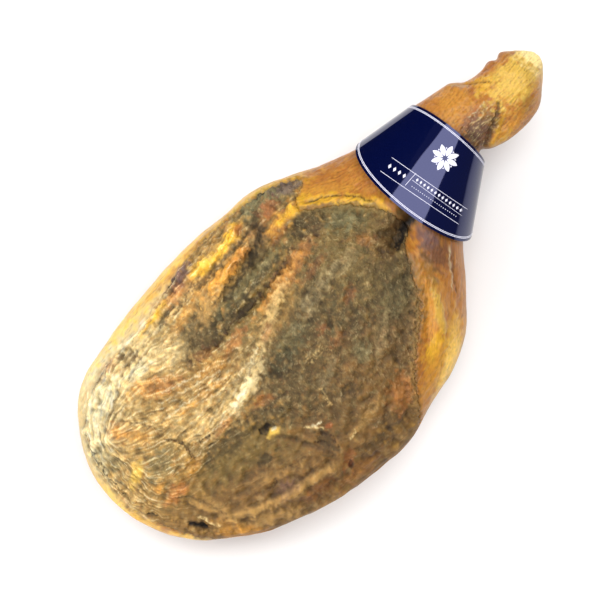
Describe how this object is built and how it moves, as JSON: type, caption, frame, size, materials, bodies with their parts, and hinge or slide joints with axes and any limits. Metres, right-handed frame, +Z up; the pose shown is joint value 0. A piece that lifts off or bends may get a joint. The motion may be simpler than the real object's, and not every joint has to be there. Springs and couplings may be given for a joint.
{
  "type": "cured ham",
  "caption": "Whole bone-in cured ham with its hoof sawn off, lying with the trimmed meat face up, and a glossy card collar round its shank.",
  "frame": {"origin": "on the table, under the middle of the ham's bounding box", "axes": "+X along the ham from the butt to the hock, +Y towards the straighter edge of its outline, +Z up out of the meat face"},
  "size_m": [0.58, 0.279, 0.1295],
  "materials": {
    "rind_and_meat": "oily golden rind and fat round a dry, mould-dusted brown meat crust",
    "card": "navy print under a gloss laminate"
  },
  "bodies": {
    "root": {"ham": "rind_and_meat", "collar": "card"}
  },
  "joints": []
}
